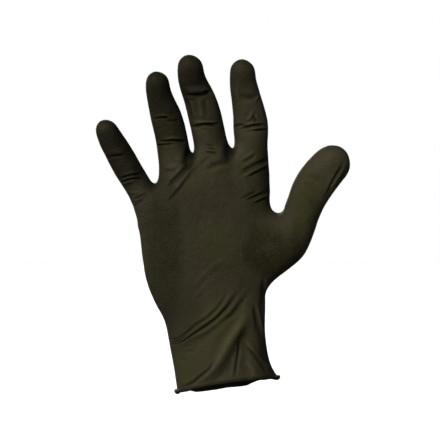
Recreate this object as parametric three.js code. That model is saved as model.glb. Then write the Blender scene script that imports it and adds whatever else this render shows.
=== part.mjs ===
import * as THREE from "three";

// A disposable nitrile exam glove that keeps the form of the right hand wearing it.
// One dipped film, hollow from the fingertips to the cuff, with its hem rolled into a bead.
// Millimetres. The palm faces -Y, the fingers point to +Z and the thumb to +X.
// The origin is the middle of the cuff's opening.

// The film and its rolled hem
const FILM_WALL = 1;
const BEAD_RADIUS = 1.1;

// The cuff, from the hem to the wrist
const CUFF_LENGTH = 46;
const CUFF_WIDTH = 72;
const CUFF_DEPTH = 40;
const CUFF_TILT = 8; // degrees that the hem rises towards the thumb
const HEM_ARCH = 2.4; // how far the hem rises in the middle of the palm's side
const WRIST_WIDTH = 70;
const WRIST_DEPTH = 39;

// The palm, from the wrist to the web between the ring and middle fingers
const PALM_LENGTH = 114;
const PALM_WIDTH = 97;
const PALM_DEPTH = 33;
const PALM_SHIFT = 15; // how far the palm lies towards the little finger, from the hem's middle
const PALM_TILT = 10; // degrees that the palm's last section rises towards the thumb
const KNUCKLE_DEPTH = 27;
const WEB_DEPTH = 20;
const WEB_DROP = 6; // how far the film falls from the top of a web to the palm and the back
const SIDE_ROUND = 2.2; // how far the outer sides of the knuckles stand out

// The film's rows of quads, and its quads across and through a finger
const ACROSS = 4;
const THROUGH = 4;
const CUFF_ROWS = 15;
const THUMB_ROWS = 6;
const FAN_ROWS = 6;
const DOME_RINGS = 3;
const BEAD_STEPS = 5;
const RING_PITCH = 6.2; // distance between the rings of a digit
const ROOT_SHARE = 0.12; // share of a digit's length where its own first ring lies
const SLANT_SHARE = 0.36; // share of a digit's length over which its rings lose their root's slant

// How often the film is evened out round the thumb's root, under the knuckles and round the webs,
// and how many quads that reaches beyond a root or a web
const THUMB_RELAX = 4;
const FAN_RELAX = 3;
const WEB_RELAX = 3;
const RELAX_QUADS = 2;

// The thumb leaves the palm between these shares of the palm's length.
const THUMB_FOOT = 0.19;
const THUMB_WEB = 0.585;

// Sections of the cuff, as shares of its sizes.
// up: the middle's height, side: its shift towards the little finger.
const CUFF_SECTIONS = [
  { up: 0.0, side: 0.0, width: 1.0, depth: 1.0, tilt: 1.0 },
  { up: 0.2, side: 0.2, width: 0.955, depth: 0.97, tilt: 0.85 },
];
const WRIST_SECTIONS = [
  { up: 0.55, side: 0.4, width: 0.98, depth: 0.98, tilt: 0.6 },
  { up: 1.0, side: 0.58, width: 1.03, depth: 1.0, tilt: 0.5 },
];
const PALM_SECTIONS = [
  { up: 0.14, side: 0.82, width: 0.835, depth: 1.12, tilt: 0.4 },
  { up: 0.25, side: 0.93, width: 0.892, depth: 1.06, tilt: 0.42 },
  { up: 0.36, side: 0.97, width: 0.936, depth: 1.02, tilt: 0.6 },
  { up: 0.47, side: 1.01, width: 0.968, depth: 0.98, tilt: 0.82 },
  { up: 0.6, side: 1.04, width: 0.99, depth: 0.94, tilt: 1.0 },
];

// The outer corners of the knuckles and the webs between the fingers, from the little finger on.
// across: share of the palm's width, up: share of its length.
const KNUCKLES = [
  { across: 0.0, up: 0.695 },
  { across: 0.168, up: 0.838 },
  { across: 0.424, up: 1.0 },
  { across: 0.712, up: 1.025 },
  { across: 0.968, up: 0.982 },
];

// The digits' sections. at: share of the length, lean: degrees that the line turns to the thumb's
// side, curl: degrees that it turns to the palm's side, wide and deep: shares of width and depth.
// creases: the folds across the palm's side at the joints. dent: share of the depth.
const LITTLE = {
  length: 68.5,
  width: 19.6,
  depth: 18,
  sections: [
    { at: 0.0, lean: -29, curl: 2, wide: 1.16, deep: 1.2 },
    { at: 0.14, lean: -31, curl: 5, wide: 1.06, deep: 1.08 },
    { at: 0.3, lean: -32, curl: 10, wide: 1.0, deep: 1.0 },
    { at: 0.5, lean: -28, curl: 14, wide: 1.02, deep: 0.97 },
    { at: 0.7, lean: -31, curl: 18, wide: 0.98, deep: 0.92 },
    { at: 0.85, lean: -25, curl: 21, wide: 0.86, deep: 0.85 },
    { at: 1.0, lean: -12, curl: 22, wide: 0.76, deep: 0.78 },
  ],
  creases: [
    { at: 0.29, dent: 0.067 },
    { at: 0.57, dent: 0.044 },
  ],
};
const RING = {
  length: 78.5,
  width: 22.4,
  depth: 20.5,
  sections: [
    { at: 0.0, lean: -8, curl: 2, wide: 1.08, deep: 1.12 },
    { at: 0.18, lean: -9, curl: 6, wide: 1.06, deep: 1.04 },
    { at: 0.37, lean: -10, curl: 10, wide: 1.04, deep: 1.0 },
    { at: 0.55, lean: -17, curl: 15, wide: 1.02, deep: 0.95 },
    { at: 0.7, lean: -19, curl: 20, wide: 0.88, deep: 0.88 },
    { at: 0.84, lean: -7, curl: 23, wide: 0.8, deep: 0.82 },
    { at: 1.0, lean: 7, curl: 24, wide: 0.73, deep: 0.74 },
  ],
  creases: [
    { at: 0.34, dent: 0.073 },
    { at: 0.585, dent: 0.049 },
  ],
};
const MIDDLE = {
  length: 81.5,
  width: 23.2,
  depth: 21,
  sections: [
    { at: 0.0, lean: -10, curl: 2, wide: 1.06, deep: 1.1 },
    { at: 0.2, lean: -12, curl: 7, wide: 1.04, deep: 1.03 },
    { at: 0.36, lean: -13, curl: 11, wide: 1.04, deep: 0.99 },
    { at: 0.52, lean: -17, curl: 16, wide: 1.02, deep: 0.96 },
    { at: 0.66, lean: -26, curl: 23, wide: 0.93, deep: 0.92 },
    { at: 0.8, lean: -10, curl: 28, wide: 0.84, deep: 0.87 },
    { at: 1.0, lean: 14, curl: 30, wide: 0.78, deep: 0.8 },
  ],
  creases: [
    { at: 0.345, dent: 0.081 },
    { at: 0.625, dent: 0.071 },
  ],
};
const INDEX = {
  length: 77.5,
  width: 24.6,
  depth: 21,
  sections: [
    { at: 0.0, lean: -1, curl: 2, wide: 1.0, deep: 1.12 },
    { at: 0.2, lean: -2, curl: 6, wide: 1.0, deep: 1.03 },
    { at: 0.38, lean: -4, curl: 10, wide: 1.03, deep: 1.0 },
    { at: 0.52, lean: -12, curl: 15, wide: 0.94, deep: 0.96 },
    { at: 0.66, lean: -12, curl: 20, wide: 0.86, deep: 0.9 },
    { at: 0.82, lean: -5, curl: 24, wide: 0.78, deep: 0.83 },
    { at: 1.0, lean: 8, curl: 26, wide: 0.7, deep: 0.75 },
  ],
  creases: [
    { at: 0.34, dent: 0.081 },
    { at: 0.64, dent: 0.043 },
  ],
};
const FINGERS = [LITTLE, RING, MIDDLE, INDEX];
const FINGER_CORNER = -0.75 * Math.PI; // angle of the first column, round a finger

// face: degrees that the thumb's sections themselves are turned, where its line has its own lean.
const THUMB = {
  length: 98,
  width: 28,
  depth: 24,
  sections: [
    { at: 0.0, lean: 78, face: 86, curl: 12, wide: 1.74, deep: 1.28 },
    { at: 0.1, lean: 69, face: 79, curl: 14, wide: 1.6, deep: 1.27 },
    { at: 0.2, lean: 44, face: 71, curl: 17, wide: 1.42, deep: 1.23 },
    { at: 0.3, lean: 25, face: 59, curl: 19, wide: 1.2, deep: 1.14 },
    { at: 0.43, lean: 19, face: 46, curl: 20, wide: 1.02, deep: 1.04 },
    { at: 0.58, lean: 26, face: 41, curl: 20, wide: 1.02, deep: 0.96 },
    { at: 0.72, lean: 38, face: 40, curl: 18, wide: 1.02, deep: 0.9 },
    { at: 0.86, lean: 44, face: 42, curl: 17, wide: 0.98, deep: 0.82 },
    { at: 1.0, lean: 38, face: 44, curl: 16, wide: 0.86, deep: 0.7 },
  ],
  creases: [{ at: 0.64, dent: 0.025 }],
};
const CREASE_REACH = 2.6;

// The pads of the palm that round the film out. up: share of the palm's length, from the wrist.
// across, from the hem's middle, reach and rise: shares of the palm's width.
const PADS = [
  { across: 0.16, up: 0.4, reach: 0.28, rise: 0.062 },
  { across: -0.42, up: 0.34, reach: 0.25, rise: 0.027 },
  { across: -0.12, up: 0.9, reach: 0.21, rise: 0.017 },
];

// Folds of the slack film. start, bend and end: places as shares of the palm's width, from the
// hem's middle, and of the cuff's length, from the hem. face: -1 on the palm's side, 1 on the back.
// reach and rise: shares of the cuff's width.
const FOLDS = [
  { face: -1, start: [-0.22, 0.04], bend: [0.1, 0.6], end: [0.17, 1.3], reach: 0.09, rise: 0.036 },
  { face: -1, start: [0.13, 0.75], bend: [0.14, 0.4], end: [0.16, 0.04], reach: 0.09, rise: -0.042 },
  { face: -1, start: [0.18, 1.15], bend: [0.17, 0.6], end: [0.3, 0.12], reach: 0.07, rise: 0.03 },
  { face: -1, start: [-0.42, 0.62], bend: [-0.08, 1.0], end: [0.09, 1.48], reach: 0.064, rise: 0.022 },
  { face: -1, start: [-0.33, 0.5], bend: [-0.02, 0.9], end: [0.13, 1.36], reach: 0.064, rise: -0.014 },
  { face: 1, start: [-0.3, 0.05], bend: [-0.16, 0.6], end: [0.0, 1.5], reach: 0.11, rise: -0.028 },
  { face: 1, start: [0.12, 0.04], bend: [0.1, 0.5], end: [-0.02, 1.4], reach: 0.11, rise: 0.028 },
];

// The finish
const NITRILE_COLOUR = 0x322e23;
const NITRILE_ROUGHNESS = 0.6;

const FRONT_COLUMNS = ACROSS * FINGERS.length;
const COLUMNS = 2 * (FRONT_COLUMNS + THROUGH);

const { degToRad, lerp } = THREE.MathUtils;

const SECTIONS = [
  ...CUFF_SECTIONS.map((row) => placeSection(row, 0, CUFF_LENGTH, CUFF_WIDTH, CUFF_DEPTH, CUFF_TILT)),
  ...WRIST_SECTIONS.map((row) => placeSection(row, 0, CUFF_LENGTH, WRIST_WIDTH, WRIST_DEPTH, CUFF_TILT)),
  ...PALM_SECTIONS.map((row) =>
    placeSection(row, CUFF_LENGTH, PALM_LENGTH, PALM_WIDTH, PALM_DEPTH, PALM_TILT)),
];

function placeSection(row, foot, length, width, depth, tilt) {
  return {
    up: foot + row.up * length,
    side: -row.side * PALM_SHIFT,
    width: row.width * width,
    depth: row.depth * depth,
    tilt: row.tilt * tilt,
  };
}

// The value of one column of a table between its rows, on a smooth curve through all of them.
function along(rows, key, column, place) {
  const last = rows.length - 1;
  let i = 0;
  while (i < last - 1 && place > rows[i + 1][key]) i++;
  const [from, to] = [rows[i], rows[i + 1]];
  const span = to[key] - from[key];
  const slope = (k) => {
    const before = rows[Math.max(k - 1, 0)];
    const after = rows[Math.min(k + 1, last)];
    return ((after[column] - before[column]) / (after[key] - before[key])) * span;
  };
  const t = (place - from[key]) / span;
  const ease = t * t * (3 - 2 * t);
  const leave = t * (1 - t) * (1 - t);
  const arrive = t * t * (t - 1);
  return lerp(from[column], to[column], ease) + slope(i) * leave + slope(i + 1) * arrive;
}

// The outside of the film: points, and faces that turn counter-clockwise as seen from outside.
const points = [];
const faces = [];

function addPoint(point) {
  points.push(point);
  return points.length - 1;
}

const addRing = (ring) => ring.map(addPoint);

function addBand(lower, upper) {
  lower.forEach((id, j) => {
    const next = (j + 1) % lower.length;
    faces.push([id, lower[next], upper[next], upper[j]]);
  });
}

// A ring of the palm runs along the palm's side, the thumb's side, the back and the outer side.
function joinRing({ front, right, back, left }) {
  return [...front, ...right, ...back.toReversed(), ...left.toReversed()];
}

// A section is a superellipse. Its two faces meet its sides at CORNER, a share of the half width.
const SQUARENESS = 2.4;
const CORNER = 0.9;
const bulge = (place) => Math.pow(1 - Math.pow(Math.abs(place), SQUARENESS), 1 / SQUARENESS);

function sectionRing(up) {
  const value = (column) => along(SECTIONS, "up", column, up);
  const halfWidth = value("width") / 2;
  const halfDepth = value("depth") / 2;
  const tilt = degToRad(value("tilt"));
  const hemShare = Math.max(1 - up / (CUFF_LENGTH / 2), 0);
  const place = (x, y) => {
    const arch = y < 0 ? HEM_ARCH * hemShare * (1 - x * x) : 0;
    const across = x * halfWidth;
    const height = up + across * Math.sin(tilt) + arch;
    return new THREE.Vector3(value("side") + across * Math.cos(tilt), y * halfDepth, height);
  };
  const face = (side) =>
    Array.from({ length: FRONT_COLUMNS + 1 }, (_, j) => {
      const x = CORNER * ((2 * j) / FRONT_COLUMNS - 1);
      return place(x, side * bulge(x));
    });
  const edge = (side) =>
    Array.from({ length: THROUGH - 1 }, (_, j) => {
      const y = bulge(CORNER) * ((2 * (j + 1)) / THROUGH - 1);
      return place(side * bulge(y), y);
    });
  return { front: face(-1), right: edge(1), back: face(1), left: edge(-1) };
}

// The points between the palm's side and the back of a web or an outer side, arched out.
function archBetween(start, end, out) {
  return Array.from({ length: THROUGH - 1 }, (_, j) => {
    const share = (j + 1) / THROUGH;
    const rise = Math.sin(Math.PI * share);
    return new THREE.Vector3().lerpVectors(start, end, share).addScaledVector(out, rise);
  });
}

// The line where the palm divides into the fingers, with the webs between them.
function knuckleRing() {
  const outerEdge = SECTIONS.at(-1).side - PALM_WIDTH / 2;
  const corners = KNUCKLES.map(({ across, up }) => {
    const height = CUFF_LENGTH + up * PALM_LENGTH - WEB_DROP;
    return new THREE.Vector2(outerEdge + across * PALM_WIDTH, height);
  });
  const face = (side) =>
    Array.from({ length: FRONT_COLUMNS + 1 }, (_, j) => {
      const finger = Math.min(Math.floor(j / ACROSS), FINGERS.length - 1);
      const share = j / ACROSS - finger;
      const place = new THREE.Vector2().lerpVectors(corners[finger], corners[finger + 1], share);
      const depth = lerp(WEB_DEPTH, KNUCKLE_DEPTH, Math.sin(Math.PI * share));
      return new THREE.Vector3(place.x, (side * depth) / 2, place.y);
    });
  const front = face(-1);
  const back = face(1);
  const arch = (j, out) => archBetween(front[j], back[j], out);
  const outwards = new THREE.Vector3(SIDE_ROUND, 0, 0);
  const upwards = new THREE.Vector3(0, 0, WEB_DROP);
  return {
    front,
    back,
    right: arch(FRONT_COLUMNS, outwards),
    left: arch(0, outwards.clone().negate()),
    webs: FINGERS.slice(1).map((_, web) => arch((web + 1) * ACROSS, upwards)),
  };
}

// The places along a digit that have a ring: about evenly spaced, and three at each crease.
function ringPlaces(digit) {
  const reach = CREASE_REACH / digit.length;
  const dome = (digit.sections.at(-1).wide * digit.width) / 2 / digit.length;
  const creaseStops = digit.creases.flatMap(({ at }) => [at - reach, at, at + reach]);
  const stops = [ROOT_SHARE, ...creaseStops, 1 - dome];
  const places = stops.slice(1).flatMap((stop, i) => {
    const span = stop - stops[i];
    const steps = Math.max(1, Math.round((span * digit.length) / RING_PITCH));
    return Array.from({ length: steps }, (_, k) => ({ at: stops[i] + (span * k) / steps, size: 1 }));
  });
  places.push({ at: 1 - dome, size: 1 });
  for (let i = 1; i <= DOME_RINGS; i++) {
    const angle = ((Math.PI / 2) * i) / (DOME_RINGS + 1);
    places.push({ at: 1 - dome + dome * Math.sin(angle), size: Math.cos(angle) });
  }
  return places;
}

const direction = (lean, curl) =>
  new THREE.Vector3(Math.sin(lean) * Math.cos(curl), -Math.sin(curl), Math.cos(lean) * Math.cos(curl));

// A digit's middle line, walked from its root, as a function of the share of its length.
function digitLine(digit, root) {
  const STEPS = 60;
  const line = [root];
  for (let i = 0; i < STEPS; i++) {
    const at = (i + 0.5) / STEPS;
    const lean = degToRad(along(digit.sections, "at", "lean", at));
    const curl = degToRad(along(digit.sections, "at", "curl", at));
    const step = direction(lean, curl).multiplyScalar(digit.length / STEPS);
    line.push(line[i].clone().add(step));
  }
  return (at) => {
    const i = Math.min(Math.floor(at * STEPS), STEPS - 1);
    return new THREE.Vector3().lerpVectors(line[i], line[i + 1], at * STEPS - i);
  };
}

// The half axes of a digit's section, and the direction that it faces.
function sectionAxes(digit, at) {
  const value = (column) => along(digit.sections, "at", column, at);
  const face = degToRad(value("face" in digit.sections[0] ? "face" : "lean"));
  const ahead = direction(face, degToRad(value("curl")));
  const wide = new THREE.Vector3(Math.cos(face), 0, -Math.sin(face));
  const deep = ahead.clone().cross(wide);
  wide.multiplyScalar((value("wide") * digit.width) / 2);
  deep.multiplyScalar((value("deep") * digit.depth) / 2);
  return { ahead, wide, deep };
}

// Grows a digit from its base ring. angles: each column's angle round the digit, where 0 is the
// thumb's side and a quarter turn is the back.
function growDigit(digit, base, angles) {
  const root = middleOf(base);
  const line = digitLine(digit, root);
  const rootAhead = sectionAxes(digit, 0).ahead;
  const slants = base.map((id) => points[id].clone().sub(root).dot(rootAhead));
  let lower = base;
  for (const { at, size } of ringPlaces(digit)) {
    const { ahead, wide, deep } = sectionAxes(digit, at);
    const slanted = Math.max(1 - at / SLANT_SHARE, 0);
    const crease = digit.creases.find((row) => row.at === at);
    const dent = crease ? 2 * crease.dent : 0;
    const ring = angles.map((angle, j) => {
      const out = Math.sin(angle) * (1 - dent * Math.max(-Math.sin(angle), 0));
      return line(at)
        .addScaledVector(wide, size * Math.cos(angle))
        .addScaledVector(deep, size * out)
        .addScaledVector(ahead, slants[j] * slanted);
    });
    const upper = addRing(ring);
    addBand(lower, upper);
    lower = upper;
  }
  const tip = addPoint(line(1));
  lower.forEach((id, j) => faces.push([id, lower[(j + 1) % lower.length], tip]));
}

// The cuff and palm, up to the knuckle line, with a patch left open for the thumb.
function buildPalm(knuckles) {
  const foot = CUFF_LENGTH + THUMB_FOOT * PALM_LENGTH;
  const web = CUFF_LENGTH + THUMB_WEB * PALM_LENGTH;
  const heights = [];
  for (let i = 0; i < CUFF_ROWS; i++) heights.push(lerp(0, foot, i / CUFF_ROWS));
  for (let i = 0; i <= THUMB_ROWS; i++) heights.push(lerp(foot, web, i / THUMB_ROWS));
  const rows = heights.map((up) => joinRing(sectionRing(up)));
  const webRow = rows.at(-1);
  const knuckleRow = joinRing(knuckles);
  for (let i = 1; i <= FAN_ROWS; i++)
    rows.push(webRow.map((point, j) => point.clone().lerp(knuckleRow[j], i / FAN_ROWS)));

  const grid = rows.map(addRing);
  for (let row = 0; row + 1 < grid.length; row++)
    for (let j = 0; j < COLUMNS; j++) {
      const next = (j + 1) % COLUMNS;
      if (!inThumbPatch(row, j))
        faces.push([grid[row][j], grid[row][next], grid[row + 1][next], grid[row + 1][j]]);
    }
  return grid;
}

function inThumbPatch(row, column) {
  const inRows = row >= CUFF_ROWS && row < CUFF_ROWS + THUMB_ROWS;
  return inRows && column >= FRONT_COLUMNS && column < FRONT_COLUMNS + THROUGH;
}

// The edge of the thumb's patch: down the palm's side, along the foot, up the back, along the web.
function thumbEdge(grid) {
  const [foot, web] = [CUFF_ROWS, CUFF_ROWS + THUMB_ROWS];
  const [near, far] = [FRONT_COLUMNS, FRONT_COLUMNS + THROUGH];
  const edge = [];
  for (let row = web; row > foot; row--) edge.push(grid[row][near]);
  for (let j = near; j < far; j++) edge.push(grid[foot][j]);
  for (let row = foot; row < web; row++) edge.push(grid[row][far]);
  for (let j = far; j > near; j--) edge.push(grid[web][j]);
  return edge;
}

function middleOf(ids) {
  const middle = new THREE.Vector3();
  ids.forEach((id) => middle.addScaledVector(points[id], 1 / ids.length));
  return middle;
}

function buildThumb(base) {
  const step = (2 * Math.PI) / base.length;
  const start = Math.PI + (step * THROUGH) / 2;
  growDigit(THUMB, base, base.map((_, j) => start + step * j));
}

// Each finger stands on its stretch of the knuckle line, between two webs or outer sides.
function buildFingers(knuckleIds, webs) {
  const backStart = FRONT_COLUMNS + THROUGH;
  const front = knuckleIds.slice(0, FRONT_COLUMNS + 1);
  const right = knuckleIds.slice(FRONT_COLUMNS + 1, backStart);
  const back = knuckleIds.slice(backStart, backStart + FRONT_COLUMNS + 1).toReversed();
  const left = knuckleIds.slice(backStart + FRONT_COLUMNS + 1).toReversed();
  const sides = [left, ...webs.map(addRing), right];
  FINGERS.forEach((finger, f) => {
    const [from, to] = [f * ACROSS, (f + 1) * ACROSS + 1];
    const base = joinRing({
      front: front.slice(from, to),
      right: sides[f + 1],
      back: back.slice(from, to),
      left: sides[f],
    });
    const step = (2 * Math.PI) / base.length;
    growDigit(finger, base, base.map((_, j) => FINGER_CORNER + step * j));
  });
}

function neighbours() {
  const near = points.map(() => new Set());
  for (const face of faces)
    face.forEach((id, i) => {
      const next = face[(i + 1) % face.length];
      near[id].add(next);
      near[next].add(id);
    });
  return near.map((set) => [...set]);
}

// The given points, and those up to a number of quads away from them.
function around(start, quads) {
  const near = neighbours();
  const found = new Set(start);
  for (let i = 0; i < quads; i++) [...found].forEach((id) => near[id].forEach((n) => found.add(n)));
  return [...found];
}

// Evens out the film at the given points.
function relax(ids, steps) {
  const near = neighbours();
  for (let i = 0; i < steps; i++) {
    const moved = ids.map((id) => points[id].clone().lerp(middleOf(near[id]), 0.5));
    ids.forEach((id, k) => points[id].copy(moved[k]));
  }
}

function pointNormals() {
  const normals = points.map(() => new THREE.Vector3());
  for (const face of faces) {
    const [a, b, c] = face.map((id) => points[id]);
    const d = points[face.at(-1)];
    const across = c.clone().sub(a);
    const up = face.length === 4 ? d.clone().sub(b) : c.clone().sub(b);
    const normal = across.cross(up);
    face.forEach((id) => normals[id].add(normal));
  }
  return normals.map((normal) => normal.normalize());
}

// How far a fold moves the film at a place seen from the palm: a soft ridge or dent along a curve.
function foldMove(fold) {
  const corner = ([across, up]) => new THREE.Vector2(across * PALM_WIDTH, up * CUFF_LENGTH);
  const curve = new THREE.QuadraticBezierCurve(corner(fold.start), corner(fold.bend), corner(fold.end));
  const STEPS = 24;
  const track = curve.getPoints(STEPS);
  return (seen) => {
    const gaps = track.map((point) => point.distanceTo(seen));
    const nearest = Math.min(...gaps);
    const share = gaps.indexOf(nearest) / STEPS;
    const fade = Math.sqrt(Math.sin(Math.PI * lerp(0.02, 0.98, share)));
    const spread = Math.exp(-2 * (nearest / (fold.reach * CUFF_WIDTH)) ** 2);
    return fold.rise * CUFF_WIDTH * fade * spread;
  };
}

// Rounds the pads out and folds the slack film.
function shapeFilm() {
  const normals = pointNormals();
  const moves = FOLDS.map(foldMove);
  points.forEach((point, i) => {
    const seen = new THREE.Vector2(point.x, point.z);
    const facing = normals[i].y;
    let move = 0;
    for (const { across, up, reach, rise } of PADS) {
      const middle = new THREE.Vector2(across * PALM_WIDTH, CUFF_LENGTH + up * PALM_LENGTH);
      const gap = middle.distanceTo(seen) / (reach * PALM_WIDTH);
      move += rise * PALM_WIDTH * Math.exp(-gap * gap) * Math.max(-facing, 0);
    }
    FOLDS.forEach((fold, k) => {
      move += moves[k](seen) * Math.max(fold.face * facing, 0);
    });
    point.addScaledVector(normals[i], move);
  });
}

// The inside of the film, one wall in from its outside, and the hem rolled outwards between them.
function closeFilm(hem, above) {
  const normals = pointNormals();
  const outside = [...points];
  outside.forEach((point, i) => addPoint(point.clone().addScaledVector(normals[i], -FILM_WALL)));
  const inward = (id) => id + outside.length;
  [...faces].forEach((face) => faces.push(face.toReversed().map(inward)));

  const start = Math.acos((FILM_WALL - BEAD_RADIUS) / BEAD_RADIUS);
  const beadRing = (angle) =>
    hem.map((id, j) => {
      const up = outside[above[j]].clone().sub(outside[id]).normalize();
      const out = normals[id].clone().addScaledVector(up, -normals[id].dot(up)).normalize();
      return outside[id]
        .clone()
        .addScaledVector(out, BEAD_RADIUS * (Math.cos(angle) - Math.cos(start)))
        .addScaledVector(up, BEAD_RADIUS * (Math.sin(angle) - Math.sin(start)));
    });
  let upper = hem;
  for (let i = 1; i <= BEAD_STEPS; i++) {
    const angle = lerp(start, -Math.PI, i / (BEAD_STEPS + 1));
    const lower = addRing(beadRing(angle));
    addBand(lower, upper);
    upper = lower;
  }
  addBand(hem.map(inward), upper);
}

function filmGeometry() {
  const corners = faces.flatMap(([a, b, c, d]) => (d === undefined ? [a, b, c] : [a, b, c, a, c, d]));
  const places = points.flatMap((point) => point.toArray());
  const geometry = new THREE.BufferGeometry();
  geometry.setAttribute("position", new THREE.Float32BufferAttribute(places, 3));
  geometry.setIndex(corners);
  geometry.computeVertexNormals();
  return geometry;
}

function buildFilm() {
  const knuckles = knuckleRing();
  const grid = buildPalm(knuckles);
  const knuckleIds = grid.at(-1);
  const edge = thumbEdge(grid);
  buildThumb(edge);
  buildFingers(knuckleIds, knuckles.webs);
  relax(around(edge, RELAX_QUADS), THUMB_RELAX);
  relax(grid.slice(-FAN_ROWS - 4).flat(), FAN_RELAX);
  relax(around(knuckleIds, RELAX_QUADS), WEB_RELAX);
  shapeFilm();
  closeFilm(grid[0], grid[1]);
}
buildFilm();

const nitrile = new THREE.MeshStandardMaterial({
  color: NITRILE_COLOUR,
  roughness: NITRILE_ROUGHNESS,
  metalness: 0,
});
const glove = new THREE.Mesh(filmGeometry(), nitrile);
glove.name = "glove_film";

const group = new THREE.Group();
group.add(glove);

export default group;
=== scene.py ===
import math
from collections import namedtuple

import bmesh
import bpy
import numpy as np
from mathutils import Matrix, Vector, noise


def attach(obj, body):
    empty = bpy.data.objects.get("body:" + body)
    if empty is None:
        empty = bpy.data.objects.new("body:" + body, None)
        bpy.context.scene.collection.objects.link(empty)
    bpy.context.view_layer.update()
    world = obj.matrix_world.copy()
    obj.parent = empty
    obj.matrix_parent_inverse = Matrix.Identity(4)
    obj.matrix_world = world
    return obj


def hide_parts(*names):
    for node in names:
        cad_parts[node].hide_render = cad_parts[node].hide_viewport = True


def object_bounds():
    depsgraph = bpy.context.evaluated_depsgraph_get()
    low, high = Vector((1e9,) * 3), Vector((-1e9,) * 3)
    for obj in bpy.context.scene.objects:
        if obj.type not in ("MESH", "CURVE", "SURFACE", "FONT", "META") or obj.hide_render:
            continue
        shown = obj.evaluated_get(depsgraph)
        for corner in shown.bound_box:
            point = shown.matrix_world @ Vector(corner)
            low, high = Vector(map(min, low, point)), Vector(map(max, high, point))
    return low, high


# The worn nitrile exam glove: one film, hollow from the fingertips to the rolled hem.
# Lengths in the tables are millimetres, in the row's frame: x towards the thumb, z to the fingers.
# A pair of heights, depths, places or facings says where a change begins and where it is complete.

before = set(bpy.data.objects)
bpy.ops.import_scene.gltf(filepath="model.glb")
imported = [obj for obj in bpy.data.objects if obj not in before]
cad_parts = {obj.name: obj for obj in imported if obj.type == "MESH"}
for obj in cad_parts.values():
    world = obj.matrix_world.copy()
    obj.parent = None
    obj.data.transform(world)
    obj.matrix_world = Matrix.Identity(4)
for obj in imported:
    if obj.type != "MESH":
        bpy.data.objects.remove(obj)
cad_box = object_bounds()

MM = 0.001
NODE = "glove_film"

# The hem lies on a line that rises towards the thumb's side, and its bead lies under that line.
HEM_SLOPE = math.tan(math.radians(8))
HEM_ARCH = 2.4
BEAD_DROP = 1.6
CUFF_HALF_WIDTH = 36
CUFF_HALF_DEPTH = 20
# The least distance, in halves of the cuff, that a way out of its middle is divided by
NEAR_MIDDLE = 0.1

# On the back the hem sags lower than on the palm's side, between two places across it.
BACK_DROP = 2.4
BACK_DROP_DEPTHS = (4, 12)
BACK_DROP_HEIGHTS = (0, 14)
BACK_DROP_LEFT = (-30, -18)
BACK_DROP_RIGHT = (14, 22)

# How finely the film is divided
WELD_GAP = 0.01
QUAD_FACE_ANGLE = math.radians(50)
QUAD_SHAPE_ANGLE = math.radians(70)
SMOOTH_LEVELS = 2
INSIDE_SHARE = 0.35
THINNING_WEIGHT = 10
# A point marked below the first of these counts as inside, and above the second as outside
INSIDE_BELOW = 0.05
OUTSIDE_ABOVE = 0.9
FINE_MARGIN = 0.5
FINE_FACING = 0.05
NARROW_FOLDS = (1.4, 0.75)

# Folds of the film on the palm's side.
# places: what the fold runs through, reach: half its width, rise: how far it stands out, or lies
# in where it is below 0, and edge: how sharp its crest is, from 1 for sharp to 2 for round.
Fold = namedtuple("Fold", "places reach rise edge")

WRIST_FOLDS = [
    Fold([(-41, 31), (-37, 31), (-33.5, 32.2), (-30.5, 34.4), (-26, 37.6)], 0.5, -0.63, 1.3),
    Fold([(-41, 29.4), (-36, 29.2), (-33, 30.6), (-30, 33), (-26, 36)], 0.5, -0.63, 1.3),
    Fold([(-41, 27.9), (-37, 27.5), (-33.5, 28.3), (-30.5, 30), (-27.5, 32), (-22, 35.2)],
         0.5, -0.63, 1.3),
    Fold([(-31, 33.5), (-27, 36.5), (-21.5, 41.5), (-15, 45.5), (-9, 51), (-4, 57), (0, 63)],
         0.8, -0.69, 1.3),
    Fold([(-31, 31.5), (-24, 36.6), (-16.5, 42), (-9, 47.4), (-4, 53), (1, 60), (5, 66)],
         1.3, 0.69, 1.6),
    Fold([(-27, 32), (-21.5, 35.6), (-15, 39.5), (-9, 44), (-4, 49), (1.5, 55), (7.5, 64)],
         0.9, -0.69, 1.4),
    Fold([(-26, 30.5), (-21.5, 34), (-15, 37.4), (-8, 42.4), (-3, 46.7), (2, 51), (7.5, 59), (14, 67)],
         1.5, 0.69, 1.8),
    Fold([(-2, 43.5), (2.5, 47.5), (6.5, 52), (9.5, 56), (15.5, 63.5)], 1.3, -0.69, 1.5),
    Fold([(-24, 70), (-14, 80), (-6, 86), (1, 87)], 1.1, 0.29, 1.8),
    Fold([(-22, 67), (-12, 76), (-3, 82.5)], 1.1, -0.29, 1.8),
    Fold([(-26, 57), (-20, 64), (-13, 70)], 1.1, 0.23, 1.8),
]
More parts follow.
